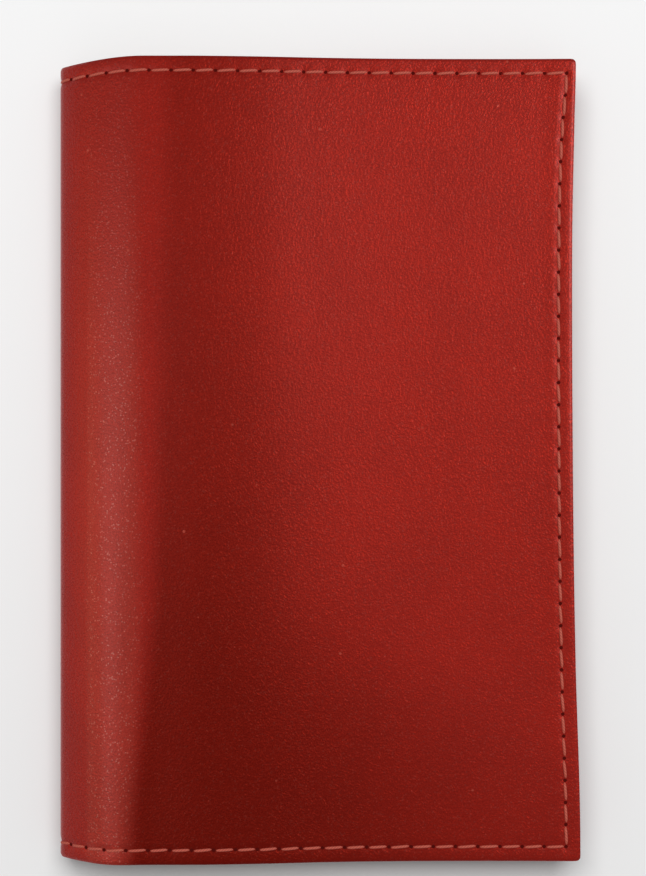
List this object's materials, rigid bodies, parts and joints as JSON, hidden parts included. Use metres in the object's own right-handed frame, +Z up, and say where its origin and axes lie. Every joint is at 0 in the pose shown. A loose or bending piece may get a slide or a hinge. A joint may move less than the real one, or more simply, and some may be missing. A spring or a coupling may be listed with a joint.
{
  "type": "notebook cover",
  "caption": "Soft leather notebook cover, stitched along its edges, folded round a thin pocket notebook held in two inner sleeves.",
  "frame": {"origin": "centre of the base, the closed cover lying on its back", "axes": "+X from the spine to the fore-edge, +Y from tail to head, +Z up out of the front cover"},
  "size_m": [0.097, 0.15, 0.014],
  "materials": {
    "leather": "semi-matte pebbled",
    "lining": "matte suede",
    "sleeve": "semi-matte pebbled",
    "thread": "waxed, twisted",
    "card": "uncoated kraft",
    "paper": "uncoated ivory",
    "staple_wire": "drawn wire"
  },
  "bodies": {
    "back": {"back_cover_leather": "leather", "back_lining": "lining", "back_sleeve": "sleeve", "back_thread_outer": "thread", "back_thread_inner": "thread", "notebook_back_card": "card", "back_pages": "paper"},
    "spine": {"spine_leather": "leather", "spine_lining": "lining", "spine_thread_outer": "thread", "spine_thread_inner": "thread", "notebook_spine_card": "card", "notebook_fold": "paper", "staple_head": "staple_wire", "staple_tail": "staple_wire"},
    "front": {"front_cover_leather": "leather", "front_lining": "lining", "front_sleeve": "sleeve", "front_thread_outer": "thread", "front_thread_inner": "thread", "notebook_front_card": "card", "front_pages": "paper"}
  },
  "joints": [
    {"name": "back_fold", "type": "hinge", "parent": "back", "child": "spine", "pos_m": [-0.04704, 0, 0.00146], "axis": [0, -1, 0], "range_deg": [0, 90]},
    {"name": "front_fold", "type": "hinge", "parent": "spine", "child": "front", "pos_m": [-0.04455, 0, 0.01048], "axis": [0, -1, 0], "range_deg": [0, 92.1]}
  ],
  "couplings": [
    {"joint": "front_fold", "follows": "back_fold", "ratio": 1.0233}
  ]
}
